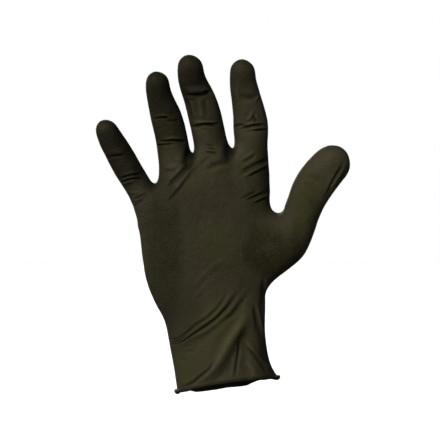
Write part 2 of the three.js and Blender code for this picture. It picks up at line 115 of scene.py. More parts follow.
CUFF_FOLDS = [
    Fold([(-35, -4), (-25.5, -0.5), (-20, 3.7), (-15, 7.8), (-12, 10.5), (-9, 16)], 0.9, -1.21, 1.2),
    Fold([(-26, -2.5), (-16.5, 3), (-11, 7.8), (-6, 14), (-3, 19.5), (0, 26), (3.5, 32), (8, 38),
          (11, 43.5), (13, 51)],
         2.6, 1.21, 1.8),
    Fold([(-8, 3), (0, 12), (5, 22), (10.5, 33), (14.5, 44)], 2.8, -0.39, 2),
    Fold([(9.6, 31), (9, 25), (8, 18.5), (7, 13), (6, 4)], 0.85, -1.21, 1.2),
    Fold([(4.4, 20), (3.8, 12), (3.4, 4)], 0.8, 0.66, 1.4),
    Fold([(15, 24), (18.5, 20.3), (21.5, 16.6), (24.5, 13), (28, 9)], 0.8, -0.88, 1.2),
    Fold([(13, 30), (16.7, 25.4), (21, 20.5), (24.7, 16), (28.4, 12), (31, 7.5)], 1.2, 0.99, 1.5),
    Fold([(14.3, 15), (18, 10.5), (20.5, 5)], 1.6, 0.66, 2),
    Fold([(20.5, 58), (22.2, 49), (23.5, 44), (25, 38), (26.5, 30)], 0.9, 0.99, 1.4),
    Fold([(19, 56), (20.5, 46), (21.3, 36)], 1.3, -0.55, 1.6),
    Fold([(24.6, 48), (26, 41), (26.8, 35)], 0.9, -0.55, 1.4),
    Fold([(27.6, 75), (27.8, 66), (28, 57)], 0.8, 0.99, 1.3),
    Fold([(25.5, 73), (25.3, 63), (25, 54)], 1.3, -0.77, 1.6),
    Fold([(-31, 26.5), (-28, 25.8), (-25.5, 26.5)], 0.9, -0.17, 1.8),
    Fold([(-29, 22.6), (-26, 22.8), (-23.5, 21)], 0.9, -0.2, 1.8),
    Fold([(-34, 17), (-31.5, 16.3), (-28, 18)], 1.1, -0.22, 1.8),
]
LITTLE_FOLDS = [
    Fold([(-84.5, 159.6), (-82, 160.4), (-79.5, 160.8), (-76.5, 161.2), (-72.5, 161.4)],
         0.9, -0.91, 1.2),
    Fold([(-83, 163), (-79, 164), (-74, 164)], 1.6, 0.52, 1.8),
    Fold([(-76.5, 144.4), (-73, 146.1), (-70, 147.2), (-66, 148), (-62, 148.3)], 0.6, -0.91, 1.15),
    Fold([(-74, 147.2), (-69.5, 148.8), (-64, 150), (-61.5, 150.6)], 0.9, 0.65, 1.5),
    Fold([(-75.5, 143.7), (-71.3, 145.3), (-67, 146.3), (-63, 146.6), (-59.5, 146.2)], 0.7, 0.45, 1.4),
    Fold([(-76, 142), (-72.5, 143.3), (-70, 144.3), (-67, 144.9), (-63.5, 145.3), (-58.5, 144.4)],
         0.6, -0.85, 1.15),
    Fold([(-74.5, 141), (-70, 142.3), (-66, 143)], 1, 0.52, 1.6),
    Fold([(-66.5, 130), (-62.3, 132), (-60.3, 133), (-55, 136)], 0.75, -0.91, 1.2),
    Fold([(-67, 127.7), (-63.5, 128.8), (-61, 130.1), (-58.4, 132.2), (-53.5, 134.8)], 0.65, -0.78, 1.2),
    Fold([(-66.5, 125.2), (-64.2, 126.8), (-61.6, 128.1), (-58, 130.4)], 0.75, -0.85, 1.2),
    Fold([(-70, 135.6), (-66, 135.2), (-62, 135.6)], 0.9, 0.45, 1.6),
]
RING_FOLDS = [
    Fold([(-26.5, 167), (-27, 161), (-29, 153)], 2.6, -2.2, 2),
    Fold([(-51.5, 187.2), (-48, 188), (-44.2, 188.2), (-42, 187.4)], 0.65, -0.98, 1.2),
    Fold([(-43, 186.3), (-38.5, 186), (-34, 186.4)], 0.8, -0.91, 1.2),
    Fold([(-49, 190), (-43, 190), (-39.5, 188.4)], 0.9, 0.65, 1.5),
    Fold([(-51.5, 168.7), (-47, 169), (-43, 169.4), (-37.5, 170)], 0.65, -1.04, 1.1),
    Fold([(-50, 170.4), (-46, 170.3), (-41, 170.6), (-36, 170.6)], 0.7, 0.45, 1.4),
    Fold([(-47, 170.9), (-43, 171.5), (-39, 172.1), (-35.8, 172), (-31.3, 171.6), (-28.5, 172)],
         0.7, -1.04, 1.15),
    Fold([(-45, 172.9), (-39, 173.8), (-35, 173.8), (-29.5, 173.2)], 1, 0.72, 1.5),
    Fold([(-24, 157), (-27, 154), (-30, 151.4), (-32.5, 148.8), (-35, 146.2), (-39.7, 142),
          (-41.5, 139)],
         1.2, -1.6, 1.4),
    Fold([(-24.5, 152.5), (-27.4, 149.3), (-30, 145.6), (-32.6, 142.3), (-35.2, 139), (-37.7, 136),
          (-44, 129)],
         1.1, 1.3, 1.5),
    Fold([(-27, 147), (-31, 141.5), (-34.5, 136.8), (-38, 133), (-42, 129)], 0.9, -0.65, 1.4),
    Fold([(-46, 151.7), (-41.6, 150.7), (-37, 150.6)], 1, -0.45, 1.6),
    Fold([(-44, 153.3), (-39, 153.2), (-34, 154.6)], 1, 0.45, 1.6),
    Fold([(-36, 157.3), (-33, 156.5), (-29.5, 156.6)], 0.8, -0.45, 1.6),
]
MIDDLE_FOLDS = [
    Fold([(1.5, 170), (2, 165), (0, 158.5)], 2.8, -1.8, 2),
    Fold([(-30, 204.6), (-25, 204.1), (-20, 204.2), (-15.5, 205.5), (-12, 206.6)], 1, -1.17, 1.15),
    Fold([(-29, 208), (-24, 207.5), (-18, 208), (-14, 210)], 2, 1.04, 2),
    Fold([(-16, 209.8), (-11.2, 205.7), (-8.8, 202.5)], 0.9, 0.65, 1.4),
    Fold([(-27.5, 203), (-25.3, 198.5), (-23.8, 193), (-22.5, 187.5)], 0.8, 0.78, 1.4),
    Fold([(-28, 200), (-26.2, 194), (-25.3, 187)], 1, -0.52, 1.6),
    Fold([(-19.5, 202), (-18.5, 194), (-17.5, 187)], 1.4, 0.45, 1.8),
    Fold([(-16.5, 202), (-15.5, 195), (-14.5, 188)], 1.4, -0.45, 1.8),
    Fold([(-26, 182), (-22, 181.9), (-19.5, 182.4), (-15.5, 183.5), (-10, 183.1), (-4, 183.7)],
         0.9, -1.17, 1.1),
    Fold([(-25, 185), (-20, 185.2), (-12, 185.2), (-5, 185.6)], 0.9, 0.59, 1.5),
    Fold([(-20, 181), (-14, 181.6), (-8, 181.2)], 0.8, 0.52, 1.5),
    Fold([(-15, 169), (-12, 168.3), (-8.5, 168.2)], 0.65, -0.59, 1.3),
    Fold([(-14, 166.8), (-11, 166.2), (-8, 166.2)], 0.65, -0.52, 1.3),
    Fold([(-14.5, 165.3), (-11, 164.8), (-7, 164.6)], 0.6, 0.45, 1.3),
    Fold([(-15.5, 164), (-11, 163.4), (-6.5, 162.4)], 0.75, -0.72, 1.3),
    Fold([(-19.8, 155), (-16.2, 158), (-13.5, 160.5)], 0.8, -0.65, 1.4),
    Fold([(5, 160.6), (-0.5, 157), (-5, 156.3), (-10.5, 154.2), (-15, 151.5)], 1.4, -0.78, 1.6),
    Fold([(4, 156), (-4, 153), (-11, 150)], 1.8, 0.52, 2),
]
INDEX_FOLDS = [
    Fold([(8.1, 211.5), (7, 206.5), (8, 200.7), (8.8, 194.5)], 1, 0.59, 1.6),
    Fold([(8.5, 204.5), (13, 203), (20, 202)], 1.6, -0.59, 1.8),
    Fold([(19.8, 199.5), (21, 201.5), (22.4, 203.7)], 0.8, 0.52, 1.5),
    Fold([(25.2, 208.5), (26.3, 203), (27, 196), (27.2, 190)], 1, -0.65, 1.3),
    Fold([(18.6, 194), (16.7, 189.2), (14, 186)], 0.9, 0.72, 1.4),
    Fold([(20, 190.6), (21, 189), (23.8, 185.6), (25.6, 183.8)], 0.9, 0.72, 1.4),
    Fold([(19.2, 190.5), (19.6, 187), (21, 184.6)], 0.9, -0.65, 1.4),
    Fold([(27, 193), (28.2, 188.5), (29.3, 184)], 0.9, -0.59, 1.4),
    Fold([(4.5, 181.5), (8, 182.8), (12, 183)], 0.85, -1.1, 1.1),
    Fold([(10.4, 180.6), (15.2, 181.4), (18.8, 182.4), (22.4, 182.8), (26, 182.5)], 0.95, -1.17, 1.1),
    Fold([(13.5, 183.3), (18, 184.4), (23, 184.6)], 0.8, 0.52, 1.5),
    Fold([(11, 179.3), (16, 180), (21.5, 181.2), (25.5, 181.3)], 0.7, 0.52, 1.5),
    Fold([(18.8, 179), (23.8, 179.5), (29.5, 179.6)], 0.75, -0.98, 1.15),
    Fold([(10.5, 156), (13.8, 158), (17.4, 160.3), (21, 163)], 1, -0.78, 1.4),
    Fold([(11, 158.5), (15.2, 161), (19.5, 163.5)], 1, 0.52, 1.6),
    Fold([(9.5, 148.8), (13.8, 151.5), (18, 153.8), (22.4, 156), (26, 157.5), (30.5, 159.5)],
         1.1, -1.5, 1.4),
    Fold([(12, 146.3), (18, 149.8), (22.4, 152), (26.7, 154.6), (29.5, 157)], 0.75, 1.5, 1.3),
    Fold([(15.5, 146.4), (21, 149.3), (25.5, 151.4)], 0.8, -0.5, 1.3),
    Fold([(9, 130.2), (13.7, 132.3), (17.3, 134.3), (21, 136)], 0.8, -0.85, 1.3),
    Fold([(10.8, 130.2), (16, 132.4), (19.5, 134), (24.5, 136)], 0.6, 0.9, 1.3),
    Fold([(14.5, 130), (19.5, 132.2), (23.8, 134.2), (29, 136.3)], 0.8, -0.7, 1.3),
    Fold([(18, 128.5), (23, 130.7), (26.7, 132.4), (30, 134.4)], 0.7, 1, 1.3),
    Fold([(19.5, 127.4), (23.8, 129.4), (27.5, 131.2)], 0.8, -0.6, 1.3),
]
THUMB_FOLDS = [
    Fold([(82.4, 158), (81, 152.5), (78.8, 149), (76.6, 145.3), (74.4, 141), (72.3, 136.6), (69.5, 132)],
         1, -0.85, 1.3),
    Fold([(83.5, 155), (81, 148.6), (78.2, 145), (75.5, 140.8), (73, 136.8)], 0.8, 0.5, 1.4),
    Fold([(54, 148), (61, 146), (68, 143)], 1.8, -0.25, 2),
]
PALM_SIDE = WRIST_FOLDS + CUFF_FOLDS + LITTLE_FOLDS + RING_FOLDS + MIDDLE_FOLDS + INDEX_FOLDS
PALM_SIDE += THUMB_FOLDS

# Folds on the back, of the same form
BACK_SIDE = [
    Fold([(28, 22), (10, 34), (-12, 46), (-34, 54)], 2.2, 0.8, 1.6),
    Fold([(27, 17), (8, 29), (-14, 41), (-36, 48)], 2.0, -0.7, 1.6),
    Fold([(24, 11), (6, 22), (-16, 34), (-37, 40)], 2.4, 0.6, 1.8),
    Fold([(-30, 4), (-22, 18), (-19, 36)], 2.6, 0.8, 1.8),
    Fold([(-22, 3), (-15, 15), (-12, 30)], 2.2, -0.7, 1.6),
    Fold([(8, 3), (12, 14), (22, 26)], 2.4, 0.8, 1.7),
    Fold([(16, 4), (20, 13), (29, 22)], 2.0, -0.6, 1.6),
    Fold([(30, 78), (38, 84), (47, 88)], 2.0, -0.5, 1.7),
    Fold([(24, 72), (34, 79), (44, 83)], 2.0, 0.6, 1.7),
    Fold([(-24, 161), (-28, 151), (-33, 140)], 1.6, -0.6, 1.6),
    Fold([(5, 163), (3, 153), (0, 143)], 1.6, -0.6, 1.6),
    Fold([(-49, 146), (-51, 137), (-54, 128)], 1.6, -0.6, 1.6),
    Fold([(32, 138), (26, 129), (18, 121)], 1.8, -0.6, 1.6),
    Fold([(8, 184), (17, 182.5), (27, 183)], 1.4, -0.5, 1.4),
    Fold([(8, 180), (17, 178.5), (27, 179)], 1.4, -0.4, 1.4),
    Fold([(-24, 186), (-15, 185), (-5, 186)], 1.4, -0.5, 1.4),
    Fold([(-24, 182), (-15, 181), (-5, 182)], 1.4, -0.4, 1.4),
    Fold([(-49, 175), (-40, 174), (-30, 175)], 1.4, -0.5, 1.4),
    Fold([(-49, 171), (-40, 170), (-30, 171)], 1.4, -0.4, 1.4),
    Fold([(-80, 151), (-73, 149), (-64, 150)], 1.4, -0.4, 1.4),
]

# How a fold is formed: a crest with a shallower lip along both sides, which fades towards its ends.
CURVE_STEPS = 10
FOLD_SPAN = 4
END_FADE = (0, 0.22)
END_KEEP = 0.15
LIP = 0.3
LIP_PLACE = 2.1
SIDE_FACING = (0.05, 0.5)
# The depth of a fold's crease, and the height of its crest, at which their painted shade and painted
# highlight are full
CREASE_DEPTH = 0.8

# The slack film's own unevenness. size: of its dents, rise: how far they stand out or lie in,
# low and high: the heights between which they lie, stretch: how much longer than wide they are.
Crumple = namedtuple("Crumple", "size rise low high stretch")
CRUMPLES = [
    Crumple(17, 0.4, -5, 62, 1.9),
    Crumple(7.5, 0.16, -5, 70, 1.8),
    Crumple(24, 0.4, 50, 165, 1.2),
    Crumple(8, 0.2, 60, 235, 1.3),
    Crumple(3.2, 0.07, -5, 235, 1.2),
]
CRUMPLE_FADE = 18
SEED_SHIFT = (7.3, 3.1, 5.7)

# The hem's bead: its lumps, how much thicker than on the solid it is, and the knobs at its two sides
BEAD_LUMPS = Crumple(4.5, 0.7, -20, 20, 1)
BEAD_SEED = 11
BEAD_GROWTH = 0.35
BEAD_HEIGHTS = (-0.7, 0.1)
KNOB_GROWTH = 0.7
KNOB_PLACES = (0.9, 0.98)
ROUND_HEIGHTS = (0.5, 3)

# How much deeper than on the solid the film's inside lies, so that no fold comes through it
INSIDE_SHRINK = 0.7
INSIDE_HEIGHTS = (3, 10)

# Webs between the fingers that lie a little higher or lower than on the solid
WebMove = namedtuple("WebMove", "x z reach up")
WEB_MOVES = [WebMove(-51, 143, 8, -3.2)]

# Patches of the palm's side. x and z: the middle, width and height: lengths of which a patch
# keeps its strength up to the first share of PATCH_FADE and has lost it at the second.
Patch = namedtuple("Patch", "x z width height strength")
# Where the film is stippled for grip and darker for it; on the fingers the darkening of these patches is
# painted shade
STIPPLE_AND_SHADE_PATCHES = [
    Patch(-6, 108, 118, 132, 0.55),
    Patch(27, 94, 46, 50, 1.0),
    Patch(50, 96, 30, 40, 0.6),
    Patch(62, 118, 20, 40, 0.5),
    Patch(82, 148, 16, 36, 0.3),
    Patch(-44, 98, 40, 116, 0.85),
    Patch(-78, 160, 66, 84, 0.5),
    Patch(-46, 200, 44, 84, 0.5),
    Patch(-24, 218, 40, 50, 0.5),
    Patch(13, 226, 34, 40, 0.5),
]
# Painted shade: darker patches on the fingers' right sides, in the webs between the fingers and beside the
# cuff's right folds, and darker on the palm's left side, the wrist and the cuff
PAINTED_SHADE_PATCHES = [
    Patch(-80, 162, 50, 80, 0.54),
    Patch(-76, 176, 17, 34, 0.78),
    Patch(-70, 166, 17, 34, 0.78),
    Patch(-63, 154, 17, 30, 0.75),
    Patch(-55, 145, 16, 24, 0.6),
    Patch(-50, 207, 40, 56, 0.6),
    Patch(-44, 188, 36, 46, 0.4),
    Patch(-43, 208, 15, 34, 0.78),
    Patch(-38, 196, 14, 30, 0.6),
    Patch(-34, 184, 14, 30, 0.6),
    Patch(-31, 172, 14, 28, 0.55),
    Patch(-27, 161, 14, 28, 0.6),
    Patch(-24, 218, 40, 50, 0.5),
    Patch(-18, 220, 14, 36, 0.65),
    Patch(-10, 184, 20, 44, 0.25),
    Patch(-5, 186, 12, 50, 0.5),
    Patch(0, 166, 13, 28, 0.55),
    Patch(13, 226, 34, 40, 0.12),
    Patch(28, 150, 16, 62, 0.5),
    Patch(-34, 46, 40, 60, 0.42),
    Patch(-44, 84, 34, 110, 0.26),
    Patch(-12, 6, 80, 40, 0.15),
    Patch(29, 14, 26, 60, 0.6),
    Patch(-48, 126, 50, 50, 0.22),
    Patch(24, 136, 30, 40, 0.15),
]
# Painted light: lighter patches along the thumb's right edge and down the thenar's side
PAINTED_LIGHT_PATCHES = [
    Patch(74, 139, 16, 24, 0.5),
    Patch(67, 128, 18, 32, 0.7),
    Patch(60, 114, 18, 34, 0.7),
    Patch(56, 102, 14, 30, 0.6),
]
PATCH_FADE = (0.15, 0.65)
PATCH_FACING = (-0.1, 0.3)
# Heights about the hem's line below which the rolled bead gets painted shade
BEAD_SHADE_HEIGHTS = (-0.4, 0.4)

# The photograph: its frame in pixels, its scale, and where the row's origin lies in it
PHOTO_SIZE = 440
PHOTO_SCALE = 0.71
PHOTO_ORIGIN = (227, 383)
OUTLINE_DEPTH = -10
VIEW_MIDDLE = np.array([PHOTO_SIZE / 2 - PHOTO_ORIGIN[0], PHOTO_ORIGIN[1] - PHOTO_SIZE / 2]) * PHOTO_SCALE

# The stage. The camera's distance and reach and the floor's radius are metres.
CAMERA_DISTANCE = 3.0
CAMERA_REACH = 100
FLOOR_RADIUS = 14.0
FLOOR_SIDES = 96
FLOOR_DROP = 60
FLOOR_TONES = ((0.93, 0.93, 0.925, 1), (0.95, 0.95, 0.945, 1))
FLOOR_ROUGHNESS = 0.9
FLOOR_SPECULAR = 0.1

# The light: a dim fill from all round, and broad soft lights from far away.
# place: where the light stands as seen from the glove, spread: how wide it is, in degrees.
WHITE = (1, 1, 1, 1)
FILL = 0.16
Sun = namedtuple("Sun", "name place strength spread")
SUNS = [
    Sun("key", (-0.45, -0.9, 0.52), 6.4, 20),
    Sun("side", (0.8, -0.6, -0.1), 1.2, 70),
    Sun("left", (-1, -0.1, 0.1), 2.4, 30),
    Sun("back", (-0.25, 1, 0.3), 1.6, 40),
]


def eased(pair, value):
    """How far a value is from the pair's first number to its second, from 0 to 1, eased at both ends."""
    low, high = pair
    t = np.clip((value - low) / (high - low), 0, 1)
    return t * t * (3 - 2 * t)


def hem_height(x, y):
    """The height of the hem's line at a place across the cuff, which is arched on the palm's side."""
    share = np.clip(x / CUFF_HALF_WIDTH, -1, 1)
    return x * HEM_SLOPE + HEM_ARCH * (1 - share * share) * (y < 0)


def over_hem(points):
    return points[:, 2] - hem_height(points[:, 0], points[:, 1])


# The film's own mesh

def film_quads():
    """The film's solid, with its triangles joined to quads."""
    bm = bmesh.new()
    bm.from_mesh(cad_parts[NODE].data)
    bmesh.ops.remove_doubles(bm, verts=bm.verts, dist=WELD_GAP * MM)
    bmesh.ops.join_triangles(
        bm, faces=bm.faces, angle_face_threshold=QUAD_FACE_ANGLE, angle_shape_threshold=QUAD_SHAPE_ANGLE)
    return bm


def mark_outside(bm):
    """Adds a point layer, 1 on the outside, which is followed down from a fingertip, and 0 inside."""
    layer = bm.verts.layers.float.new("outside")
    tip = max(bm.verts, key=lambda v: v.co.z)
    found = {tip}
    front = [tip]
    while front:
        vert = front.pop()
        vert[layer] = 1.0
        for edge in vert.link_edges:
            other = edge.other_vert(vert)
            x, y, z = other.co / MM
            if other not in found and z > hem_height(x, y) - BEAD_DROP:
                found.add(other)
                front.append(other)


def apply_modifier(obj, kind, **settings):
    modifier = obj.modifiers.new(kind.lower(), kind)
    for name, value in settings.items():
        setattr(modifier, name, value)
    graph = bpy.context.evaluated_depsgraph_get()
    mesh = bpy.data.meshes.new_from_object(obj.evaluated_get(graph))
    obj.modifiers.clear()
    obj.data = mesh


def film_object():
    """The smoothed film as an object."""
    bm = film_quads()
    mark_outside(bm)
    mesh = bpy.data.meshes.new("glove")
    bm.to_mesh(mesh)
    bm.free()
    obj = bpy.data.objects.new("glove", mesh)
    bpy.context.scene.collection.objects.link(obj)
    apply_modifier(obj, "SUBSURF", levels=SMOOTH_LEVELS, render_levels=SMOOTH_LEVELS)
    return obj


def thin_inside(obj):
    """Takes most of the faces out of the film's inside, which only the cuff's mouth shows."""
    outside = read_outside(obj.data)
    group = obj.vertex_groups.new(name="inside")
    inside = np.flatnonzero(outside < INSIDE_BELOW)
    group.add(inside.tolist(), 1.0, "REPLACE")
    share = 1 - (1 - INSIDE_SHARE) * len(inside) / len(outside)
    apply_modifier(obj, "DECIMATE", ratio=share, vertex_group="inside", vertex_group_factor=THINNING_WEIGHT)
    obj.vertex_groups.clear()


def read_points(mesh):
    points = np.empty(len(mesh.vertices) * 3)
    mesh.vertices.foreach_get("co", points)
    return points.reshape(-1, 3) / MM


def read_normals(mesh):
    normals = np.empty(len(mesh.vertices) * 3)
    mesh.vertex_normals.foreach_get("vector", normals)
    return normals.reshape(-1, 3)


def read_outside(mesh):
    values = np.empty(len(mesh.vertices))
    mesh.attributes["outside"].data.foreach_get("value", values)
    return values


def store(mesh, name, values):
    attribute = mesh.attributes.new(name, "FLOAT", "POINT")
    attribute.data.foreach_set("value", values.astype(np.float32))


def seen_from_front(points):
    """Where the camera sees points, in the plane of the glove's outline."""
    distance = CAMERA_DISTANCE / MM
    nearness = distance / (distance + points[:, 1] - OUTLINE_DEPTH)
    return VIEW_MIDDLE + (points[:, [0, 2]] - VIEW_MIDDLE) * nearness[:, None]


# Folds

def fold_track(places):
    """Points along a smooth curve through the fold's places."""
    points = [np.array(place, float) for place in places]
    points = [2 * points[0] - points[1], *points, 2 * points[-1] - points[-2]]
    track = []
    for a, b, c, d in zip(points, points[1:], points[2:], points[3:]):
        for step in range(CURVE_STEPS):
            t = step / CURVE_STEPS
            track.append(0.5 * (2 * b + (c - a) * t + (2 * a - 5 * b + 4 * c - d) * t ** 2
                                + (3 * b - a - 3 * c + d) * t ** 3))
    track.append(points[-2])
    return np.array(track)


def gaps_to(track, seen):
    """How far each seen point is from the track, and how far along the track that is, as a share."""
    best = np.full(len(seen), np.inf)
    share = np.zeros(len(seen))
    last = len(track) - 1
    for i in range(last):
        start, step = track[i], track[i + 1] - track[i]
        t = np.clip((seen - start) @ step / (step @ step), 0, 1)
        gap = np.linalg.norm(seen - start - t[:, None] * step, axis=1)
        nearer = gap < best
        best[nearer] = gap[nearer]
        share[nearer] = (i + t[nearer]) / last
    return best, share


def near_box(track, seen, margin):
    """Which seen points lie in the box round a track."""
    low, high = track.min(0) - margin, track.max(0) + margin
    return np.flatnonzero(((seen > low) & (seen < high)).all(1))


def near_folds(seen, folds, widest):
    """Which seen points lie near a fold whose reach is at most the widest."""
    near = np.zeros(len(seen), bool)
    for fold in folds:
        if fold.reach > widest:
            continue
        track = fold_track(fold.places)
        margin = 2 * fold.reach + FINE_MARGIN
        found = near_box(track, seen, margin)
        gap, _ = gaps_to(track, seen[found])
        near[found[gap < margin]] = True
    return near


def refine(obj, widest):
    """Divides the palm's side of the film again where it has narrow folds."""
    mesh = obj.data
    faces_palm = (read_normals(mesh)[:, 1] < -FINE_FACING) & (read_outside(mesh) > OUTSIDE_ABOVE)
    near = near_folds(seen_from_front(read_points(mesh)), PALM_SIDE, widest) & faces_palm
    bm = bmesh.new()
    bm.from_mesh(mesh)
    edges = [e for e in bm.edges if near[e.verts[0].index] and near[e.verts[1].index]]
    bmesh.ops.subdivide_edges(bm, edges=edges, cuts=1, use_grid_fill=True)
    bm.to_mesh(mesh)
    bm.free()


def fold_move(fold, seen):
    """How far a fold moves each seen point out of the film."""
    move = np.zeros(len(seen))
    track = fold_track(fold.places)
    near = near_box(track, seen, FOLD_SPAN * fold.reach)
    if len(near) == 0:
        return move
    gap, share = gaps_to(track, seen[near])
    away = gap / fold.reach
    crest = np.exp(-away ** fold.edge)
    lips = LIP * np.exp(-(away - LIP_PLACE) ** 2)
    fade = END_KEEP + (1 - END_KEEP) * eased(END_FADE, share) * eased(END_FADE, 1 - share)
    past_end = (share <= 0) | (share >= 1)
    ends = np.exp(-np.maximum(gap - fold.reach, 0) * past_end / fold.reach)
    move[near] = fold.rise * (crest - lips) * fade * ends
    return move


def folds_move(seen, out):
    """How far all the folds move each seen point. Those of each side move only what faces that side."""
    move = np.zeros(len(seen))
    for side, folds in ((-1, PALM_SIDE), (1, BACK_SIDE)):
        facing = eased(SIDE_FACING, side * out[:, 1])
        chosen = facing > 0
        total = np.zeros(chosen.sum())
        for fold in folds:
            total += fold_move(fold, seen[chosen])
        move[chosen] += total * facing[chosen]
    return move


# The film's shape

def crumple_move(crumple, points, seed):
    """Soft dents of one size, between two heights of the glove."""
    height = points[:, 2]
    amount = eased((crumple.low - CRUMPLE_FADE, crumple.low), height)
    amount *= 1 - eased((crumple.high, crumple.high + CRUMPLE_FADE), height)
    shift = Vector([seed * step for step in SEED_SHIFT])
    scale = np.array([1, 1, 1 / crumple.stretch]) / crumple.size
    values = [noise.noise(Vector(p) + shift) if a > 0 else 0.0 for p, a in zip(points * scale, amount)]
    return crumple.rise * amount * np.array(values)


def ways_out(points, out, above):
    """Which way each point moves out: away from the cuff's middle by the hem, else along its normal."""
    by_hem = 1 - eased(ROUND_HEIGHTS, above)[:, None]
    from_middle = points * [1 / CUFF_HALF_WIDTH, 1 / CUFF_HALF_DEPTH, 0]
    away = from_middle / np.maximum(np.linalg.norm(from_middle, axis=1), NEAR_MIDDLE)[:, None]
    return out * (1 - by_hem) + away * by_hem


def bead_growth(points, above):
    """How much thicker the hem's bead becomes, with lumps and a knob at either side."""
    knobs = KNOB_GROWTH * eased(KNOB_PLACES, np.abs(points[:, 0]) / CUFF_HALF_WIDTH)
    growth = BEAD_GROWTH + knobs + crumple_move(BEAD_LUMPS, points, BEAD_SEED)
    return growth * (1 - eased(BEAD_HEIGHTS, above))


def move_webs(points):
    for web in WEB_MOVES:
        away = np.hypot(points[:, 0] - web.x, points[:, 2] - web.z) / web.reach
        points[:, 2] += web.up * np.exp(-away ** 2)


def drop_back_hem(points, above):
    x, y = points[:, 0], points[:, 1]
    across = eased(BACK_DROP_LEFT, x) * (1 - eased(BACK_DROP_RIGHT, x))
    points[:, 2] -= BACK_DROP * eased(BACK_DROP_DEPTHS, y) * (1 - eased(BACK_DROP_HEIGHTS, above)) * across


def shape_film(obj):
    """Moves the film's points: its folds and dents, the hem's bead, the webs and the back's hem."""
    mesh = obj.data
    points, normals = read_points(mesh), read_normals(mesh)
    layer = read_outside(mesh)
    outside, inside = layer > 0.5, layer < 0.5
    out = np.where(outside, 1.0, -1.0)[:, None] * normals
    above = over_hem(points)
    move = folds_move(seen_from_front(points), out)
    # Painted shade in the folds' creases and painted highlight on their crests
    store(mesh, "painted_crease_shade", np.clip(-move / CREASE_DEPTH, 0, 1) * outside)
    store(mesh, "painted_crest_highlight", np.clip(move / CREASE_DEPTH, 0, 1) * outside)
    for seed, crumple in enumerate(CRUMPLES):
        move += crumple_move(crumple, points, seed)
    move[inside] = np.minimum(move[inside], 0) - INSIDE_SHRINK * eased(INSIDE_HEIGHTS, above[inside])
    way = ways_out(points, out, above)
    growth = bead_growth(points, above)
    points += way * move[:, None] + normals * growth[:, None]
    move_webs(points)
    drop_back_hem(points, above)
    mesh.vertices.foreach_set("co", (points * MM).astype(np.float32).ravel())
    mesh.update()


def patched(patches, points):
    """The strength of the strongest patch at each point."""
    strength = np.zeros(len(points))
    for patch in patches:
        away = np.hypot((points[:, 0] - patch.x) / patch.width, (points[:, 2] - patch.z) / patch.height)
        strength = np.maximum(strength, patch.strength * (1 - eased(PATCH_FADE, away)))
    return strength


def mark_film(obj):
    """Stores the stipple, darker where it lies and painted shade on the fingers, the painted shade patches,
    the painted light on the thumb's edge, and the painted shade on the rolled bead.
    """
    mesh = obj.data
    points = read_points(mesh)
    on_palm = eased(PATCH_FACING, -read_normals(mesh)[:, 1])
    # Stipple, darker where it lies; on the fingers the darkening is painted shade
    store(mesh, "stipple_and_shade", patched(STIPPLE_AND_SHADE_PATCHES, points) * on_palm)
    # Painted shade on the fingers' right sides, the webs, the cuff's folds, the palm's left side and the
    # wrist
    store(mesh, "painted_shade", patched(PAINTED_SHADE_PATCHES, points) * on_palm)
    # Painted light on the thumb's right edge and the thenar's side, under the mark named stretch
    store(mesh, "stretch", patched(PAINTED_LIGHT_PATCHES, points) * on_palm)
    # Painted shade on the rolled bead at the hem
    store(mesh, "painted_bead_shade", 1 - eased(BEAD_SHADE_HEIGHTS, over_hem(points)))


# Materials. Scales count the noise's dents in a metre, and a relief's depth is metres.

Grain = namedtuple("Grain", "scale detail roughness")
Relief = namedtuple("Relief", "grain strength depth")

NITRILE_OLIVE = (0.0137, 0.0129, 0.0040, 1)
NITRILE_BROWN = (0.0157, 0.0134, 0.0076, 1)
TONE_GRAIN = Grain(28, 2, 0.5)
BROWN_RANGE = (0.3, 0.55)
SMOOTH_RANGE = (0.95, 0.5)

NITRILE_SPECULAR = 0.075
NITRILE_SHEEN_TINT = (1, 0.93, 0.6, 1)
HAZE_GRAIN = Grain(60, 4, 0.5)
HAZE_SPREAD = (0.56, 0.74)
GRIP_HAZE = 0.08

STIPPLE_AND_SHADE_GRAIN = Grain(75, 4, 0.6)
STIPPLE_AND_SHADE_SPREAD = (0.45, 1.55)
MOTTLE_GRAIN = Grain(360, 5, 0.7)
MOTTLE = 0.5
GRIP_MOTTLE = 1.5

# Painted shade and painted light: how much darker the film becomes, or lighter where it is below 0, by the
# name of its mark. Shade on the rolled bead, in the folds' creases and on the shaded patches; light on the
# thumb's edge (stretch) and on the folds' crests
DARKENINGS = {"painted_bead_shade": 0.6, "painted_crease_shade": 0.52, "painted_shade": 1, "stretch": -1, "painted_crest_highlight": -0.35}
# How much darker the stipple makes the film; on the fingers this is painted shade
STIPPLE_AND_SHADE_DARKENING = 0.55

FINE_RELIEF = Relief(Grain(2600, 2, 0.5), 0.22, 0.00012)
CREPE_RELIEF = Relief(Grain(420, 4, 0.65), 0.45, 0.0005)
HATCH_RELIEF = Relief(Grain(440, 3, 0.6), 0.45, 0.0006)
HATCH_SLANT = math.radians(40)
HATCH_STRETCH = 8
STIPPLE_SCALE = 900
STIPPLE_STRENGTH = 0.85
STIPPLE_DEPTH = 0.0008

FLOOR_GRAIN = Grain(3, 2, 0.5)


